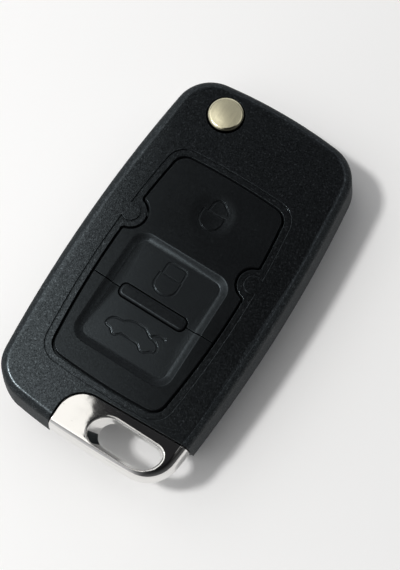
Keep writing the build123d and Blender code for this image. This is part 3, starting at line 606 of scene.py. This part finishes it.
def slot_loop(corners, grow, height, count=20):
    """Points round four elliptical corners, grown outward, at a height. All in millimetres."""
    points = []
    for i, (x, y, across, along) in enumerate(corners):
        for j in range(count):
            angle = radians(180 - 90 * i - 90 * j / (count - 1))
            point = Vector((x + (across + grow) * cos(angle), y + (along + grow) * sin(angle),
                            height)) * MM
            if not points or (point - points[-1]).length > MERGE_DISTANCE:
                points.append(point)
    return points


def fill_packed_slot(shape):
    """Closes the ring end's packed slot: takes its walls out and covers the holes they leave."""
    middle_x, middle_y, half_straight, reach = 8.2, -30.8, 4.25, 2.7
    walls = []
    for face in shape.faces:
        spot = face.calc_center_median() / MM
        across = max(0.0, abs(spot.x - middle_x) - half_straight)
        near = (across ** 2 + (spot.y - middle_y) ** 2) ** 0.5 < reach
        if near and abs(face.normal.z) < 0.8:
            walls.append(face)
    bmesh.ops.delete(shape, geom=walls, context="FACES")
    bmesh.ops.holes_fill(shape, edges=[edge for edge in shape.edges if edge.is_boundary])
    bmesh.ops.recalc_face_normals(shape, faces=shape.faces)
    whole_flats(shape)


def soften_lid_side(shape, width):
    """Rounds the ring end's upper edge along the lid."""
    just_below_top = 13.39 * MM
    edges = []
    for edge in shape.edges:
        if (len(edge.link_faces) == 2
                and min(vertex.co.z for vertex in edge.verts) > just_below_top):
            side = min(edge.link_faces, key=lambda face: face.normal.z)
            if abs(side.normal.z) < 0.2 and side.normal.y > 0.95:
                edges.append(edge)
    if not edges:
        raise RuntimeError("the ring end has no edge along the lid")
    bmesh.ops.bevel(shape, geom=edges, offset=width, offset_type="OFFSET", segments=5,
                    profile=0.5, affect="EDGES", clamp_overlap=True, material=-1)


def slot_cutter():
    """A closed plug with a rounded rim and leaning sides, in the form of the slot."""
    rim, rim_depth, rim_steps = 0.55, 0.6, 8
    above, top, web_foot, below = 14.2, 13.42, 9.53, 9.0
    loops = [slot_loop(SLOT_MOUTH, rim, above)]
    for step in range(rim_steps + 1):
        angle = radians(90 * step / rim_steps)
        loops.append(slot_loop(SLOT_MOUTH, rim * (1 - sin(angle)),
                               top - rim_depth * (1 - cos(angle))))
    loops += [slot_loop(SLOT_FOOT, 0.0, web_foot), slot_loop(SLOT_FOOT, 0.0, below)]
    shape = bmesh.new()
    rings = []
    for loop in loops:
        corners = [shape.verts.new(point) for point in loop]
        rings.append([shape.edges.new(pair) for pair in zip(corners, corners[1:] + corners[:1])])
    for upper, lower in zip(rings, rings[1:]):
        bmesh.ops.bridge_loops(shape, edges=upper + lower)
    bmesh.ops.holes_fill(shape, edges=rings[0] + rings[-1])
    bmesh.ops.recalc_face_normals(shape, faces=shape.faces)
    mesh = bpy.data.meshes.new("slot_cutter")
    shape.to_mesh(mesh)
    shape.free()
    return mesh


# Operators, one for each piece or group of pieces

class FOB_OT_casing(bpy.types.Operator):
    """Dresses both halves of the black casing."""
    bl_idname = "fob.casing"
    bl_label = "Casing"

    def execute(self, context):
        colours, sizes = context.scene.fob_colours, context.scene.fob_sizes
        grained = grained_plastic("Grained casing plastic", tuple(colours.casing), 0.175,
                                  sizes.grain_size, fleck_share=0.17,
                                  glint_fleck_colour=(0.012, 0.013, 0.014), depth=0.009 * MM,
                                  side_roughness=0.68, sparkle=0.6)
        for node, name in (("upper_casing", "casing_lid"), ("lower_casing", "casing_base")):
            shape = copied_shape(node)
            draw_in_corner(shape)
            finished_piece(shape, name, node, grained)
        return {"FINISHED"}


class FOB_OT_keys(bpy.types.Operator):
    """Dresses the two keys and the divider bar, and engraves the icons."""
    bl_idname = "fob.keys"
    bl_label = "Keys"

    def execute(self, context):
        colours, sizes = context.scene.fob_colours, context.scene.fob_sizes
        satin = grained_plastic("Satin key plastic", tuple(colours.keys), 0.23,
                                sizes.grain_size, fleck_share=0.10,
                                glint_fleck_colour=(0.005, 0.005, 0.005), depth=0.004 * MM,
                                side_roughness=0.50, sparkle=0.4, shine=(1.15, 0.60),
                                shine_heights=(13.0 * MM, 13.6 * MM))
        for name, node, drawings in (("key_rocker", "rocker_key", (UNLOCK_LINES, LOCK_LINES)),
                                     ("key_boot", "boot_key", (CAR_LINES,))):
            shape = copied_shape(node)
            for drawing in drawings:
                shape = carved(shape, groove_cutters(name + "_line", drawing, node))
            finished_piece(shape, name, node, satin, radians(30))
        finished_piece(copied_shape("key_frame"), "key_divider", "key_frame", satin)
        return {"FINISHED"}


class FOB_OT_ring_end(bpy.types.Operator):
    """Dresses the chrome ring end and its dowel."""
    bl_idname = "fob.ring_end"
    bl_label = "Ring end"

    def execute(self, context):
        colours = context.scene.fob_colours
        chrome = bright_chrome("Bright chrome", tuple(colours.chrome))
        shape = copied_shape("ring_end")
        fill_packed_slot(shape)
        soften_lid_side(shape, 0.5 * MM)
        shape = carved(shape, [slot_cutter()], "MANIFOLD")
        finished_piece(shape, "chrome_ring_end", "ring_end", chrome, radians(40))
        ground = brushed_metal("Ground dowel steel", tuple(colours.steel), 0.3, (1, 1, 12))
        dress_node("ring_pin", ground)
        return {"FINISHED"}


class FOB_OT_button(bpy.types.Operator):
    """Dresses the brushed nickel release button and its spring."""
    bl_idname = "fob.button"
    bl_label = "Release button"

    def execute(self, context):
        colours = context.scene.fob_colours
        # The nickel is painted nearly black below 14.38 mm, as painted shade round the button's foot
        nickel = brushed_metal("Brushed nickel", tuple(colours.nickel), 0.42, (1, 25, 1),
                               0.05 * MM, side_roughness=0.09, painted_shade_height=14.38 * MM)
        finished_piece(copied_shape("release_button"), "nickel_button", "release_button", nickel,
                       radians(30))
        wire = brushed_metal("Spring wire", tuple(colours.steel), 0.3, (4, 4, 1), 0.1 * MM)
        spring = finished_piece(copied_shape("hub_spring"), "button_spring", "hub_spring", wire,
                                radians(50))
        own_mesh(spring)
        return {"FINISHED"}


class FOB_OT_blade(bpy.types.Operator):
    """Dresses the folded blade, its hub and its pin."""
    bl_idname = "fob.blade"
    bl_label = "Blade"

    def execute(self, context):
        colours = context.scene.fob_colours
        milled = brushed_metal("Milled blade", tuple(colours.steel), 0.27, (1, 30, 1))
        finished_piece(copied_shape("key_blade"), "blade_blank", "key_blade", milled)
        cast = brushed_metal("Dark hub casting", (0.15, 0.15, 0.155), 0.42, (3, 3, 3),
                             0.15 * MM, 0.01 * MM)
        finished_piece(copied_shape("blade_hub"), "blade_carrier", "blade_hub", cast)
        rolled = brushed_metal("Rolled pin steel", (0.42, 0.42, 0.43), 0.33, (1, 1, 10))
        finished_piece(copied_shape("blade_pin"), "blade_roll_pin", "blade_pin", rolled)
        washer = brushed_metal("Washer steel", (0.48, 0.48, 0.49), 0.3, (6, 6, 1))
        dress_node("hub_washer", washer)
        return {"FINISHED"}


class FOB_OT_inner_pieces(bpy.types.Operator):
    """Gives the hidden inner pieces and the screws their finishes."""
    bl_idname = "fob.inner_pieces"
    bl_label = "Inner pieces"

    def execute(self, context):
        for node, name, shade, painted_glint in (("board_tray", "Tray plastic", 0.028, 0.05),
                                         ("chip_holder", "Holder plastic", 0.042, 0.07)):
            # The pale flecks of these plastics are painted glints
            dress_node(node, grained_plastic(name, (shade,) * 3, 0.5, 0.3 * MM, fleck_share=0.1,
                                             glint_fleck_colour=(painted_glint,) * 3, depth=0.006 * MM,
                                             wear=0.4))
        dress_node("key_membrane", moulded_rubber("Silicone mat", (0.11, 0.11, 0.12)))
        brass = brushed_metal("Rolled brass", (0.62, 0.52, 0.30), 0.28, (20, 1, 1))
        dress_node("cell_contacts", brass)
        oxide = brushed_metal("Black oxide steel", (0.06, 0.06, 0.06), 0.4, (4, 4, 4), 0.1 * MM,
                              0.006 * MM, wear=1.2)
        finished_piece(copied_shape("casing_screws"), "back_screws", "casing_screws", oxide)
        return {"FINISHED"}


# Lamps, in metres as seen in the photograph: right, away and up

KEY_SPOT, KEY_AIM, KEY_SIZE = (-0.30, -0.016, 0.545), (0.0, 0.0, 0.012), (0.065, 0.065)
PANEL_SPOT, PANEL_AIM, PANEL_SIZE = (-0.256, 0.02, 0.479), (0.288, 0.02, -0.36), (0.44, 0.70)

# Camera: the point it looks at, and its focal length in pixels of a picture 570 pixels high

CAMERA_TARGET = Vector((2.67, 2.41, 0.0)) * MM
FOCAL_PIXELS = 1100
PICTURE_HEIGHT = 570


def to_part(right, away, up):
    """Turns a direction given as seen in the photograph into the part's axes."""
    turn = bpy.context.scene.fob_studio.camera_turn
    return Vector((right * cos(turn) - away * sin(turn),
                   right * sin(turn) + away * cos(turn), up))


def place_lamp(name, spot, aim, size, power, colour):
    """Places a rectangular lamp. Spot and aim are as seen in the photograph."""
    lamp = bpy.data.lights.new(name, "AREA")
    lamp.shape = "RECTANGLE"
    lamp.size, lamp.size_y = size
    lamp.energy = power
    lamp.color = colour
    holder = bpy.data.objects.new(name, lamp)
    back = (to_part(*spot) - to_part(*aim)).normalized()
    away = to_part(0, 1, 0)
    across = away.cross(back).normalized()
    away = back.cross(across)
    turned = Matrix((across, away, back)).transposed().to_4x4()
    holder.matrix_world = Matrix.Translation(to_part(*spot)) @ turned
    holder.visible_camera = False
    bpy.context.scene.collection.objects.link(holder)


def toward(nodes, links, place, direction):
    """How far a place in the surroundings lies toward a direction: the dot product of the two."""
    node = nodes.new("ShaderNodeVectorMath")
    node.operation = "DOT_PRODUCT"
    node.inputs[1].default_value = direction
    links.new(place.outputs["Generated"], node.inputs[0])
    return node.outputs["Value"]


class FOB_OT_stage(bpy.types.Operator):
    """Sets the pale floor, the soft lamps, the surroundings and the camera."""
    bl_idname = "fob.stage"
    bl_label = "Studio"

    def execute(self, context):
        scene, studio = context.scene, context.scene.fob_studio
        # Floor
        shape = bmesh.new()
        bmesh.ops.create_grid(shape, x_segments=1, y_segments=1, size=3.0)
        mesh = bpy.data.meshes.new("table_top")
        shape.to_mesh(mesh)
        shape.free()
        floor = bpy.data.objects.new("table_top", mesh)
        scene.collection.objects.link(floor)
        material, _, _, shader = new_material("Pale table", tuple(studio.floor_colour), 0.6)
        shader.inputs["Specular IOR Level"].default_value = 0.2
        mesh.materials.append(material)

        # Small strong key lamp and large dim panel, both at the left of the picture
        place_lamp("key_lamp", KEY_SPOT, KEY_AIM, KEY_SIZE, studio.key_power, (1.0, 0.99, 0.97))
        place_lamp("soft_panel", PANEL_SPOT, PANEL_AIM, PANEL_SIZE, studio.panel_power,
                   (1.0, 0.985, 0.95))

        # Surroundings: bright low walls, dimmer at the near right, and a window in a dim ceiling
        world = bpy.data.worlds.new("room")
        world.use_nodes = True
        nodes, links = world.node_tree.nodes, world.node_tree.links
        place = nodes.new("ShaderNodeTexCoord")
        ramp = nodes.new("ShaderNodeValToRGB")
        walls, ceiling = ramp.color_ramp.elements
        walls.position, walls.color = 0.25, (0.92, 0.93, 0.95, 1)
        ceiling.position, ceiling.color = 0.95, (0.028, 0.028, 0.030, 1)
        links.new(height_of(nodes, links, place.outputs["Generated"]), ramp.inputs["Fac"])
        shade = nodes.new("ShaderNodeVectorMath")
        shade.operation = "SCALE"
        links.new(ramp.outputs["Color"], shade.inputs[0])
        near_right = toward(nodes, links, place, to_part(0.8, -0.6, 0))
        links.new(ranged(nodes, links, near_right, 1.0, 0.10, -0.3, 0.4), shade.inputs["Scale"])
        total = nodes.new("ShaderNodeVectorMath")
        total.operation = "ADD"
        links.new(shade.outputs[0], total.inputs[0])
        window = toward(nodes, links, place, to_part(0.60, 0.20, 0.775))
        links.new(ranged(nodes, links, window, 0.0, 0.7, 0.89, 0.97), total.inputs[1])
        links.new(total.outputs[0], nodes["Background"].inputs["Color"])
        scene.world = world

        # Camera
        lens = bpy.data.cameras.new("camera")
        lens.sensor_fit = "VERTICAL"
        lens.sensor_height = 36.0
        lens.lens = lens.sensor_height * FOCAL_PIXELS / PICTURE_HEIGHT
        lens.clip_start = 0.005
        lens.clip_end = 20.0
        camera = bpy.data.objects.new("camera", lens)
        rise = studio.camera_height_angle
        back = to_part(0, -cos(rise), sin(rise))
        camera.location = CAMERA_TARGET + back * studio.camera_distance
        level = back.to_track_quat("Z", "Y").to_matrix().to_4x4()
        camera.rotation_euler = (level @ Matrix.Rotation(studio.camera_roll, 4, "Z")).to_euler()
        scene.collection.objects.link(camera)
        scene.camera = camera
        scene.view_settings.view_transform = "Standard"
        return {"FINISHED"}


class FOB_PT_sidebar(bpy.types.Panel):
    """Lists the fob's pieces, sizes and colours in the sidebar."""
    bl_idname = "FOB_PT_sidebar"
    bl_label = "Key fob"
    bl_space_type = "VIEW_3D"
    bl_region_type = "UI"
    bl_category = "Key fob"

    def draw(self, context):
        layout = self.layout
        for operator in STEPS:
            layout.operator(operator.bl_idname)
        for group in (context.scene.fob_sizes, context.scene.fob_colours, context.scene.fob_studio):
            for name in group.bl_rna.properties.keys():
                if name not in ("rna_type", "name"):
                    layout.prop(group, name)


GROUPS = (FobSizes, FobColours, FobStudio)
STEPS = (FOB_OT_casing, FOB_OT_keys, FOB_OT_ring_end, FOB_OT_button, FOB_OT_blade,
         FOB_OT_inner_pieces, FOB_OT_stage)


def register():
    for entry in (*GROUPS, *STEPS, FOB_PT_sidebar):
        bpy.utils.register_class(entry)
    bpy.types.Scene.fob_sizes = bpy.props.PointerProperty(type=FobSizes)
    bpy.types.Scene.fob_colours = bpy.props.PointerProperty(type=FobColours)
    bpy.types.Scene.fob_studio = bpy.props.PointerProperty(type=FobStudio)


def unregister():
    del bpy.types.Scene.fob_sizes
    del bpy.types.Scene.fob_colours
    del bpy.types.Scene.fob_studio
    for entry in reversed((*GROUPS, *STEPS, FOB_PT_sidebar)):
        bpy.utils.unregister_class(entry)


def main():
    register()
    for step in (bpy.ops.fob.casing, bpy.ops.fob.keys, bpy.ops.fob.ring_end, bpy.ops.fob.button,
                 bpy.ops.fob.blade, bpy.ops.fob.inner_pieces, bpy.ops.fob.stage):
        step()


if __name__ == "__main__":
    main()
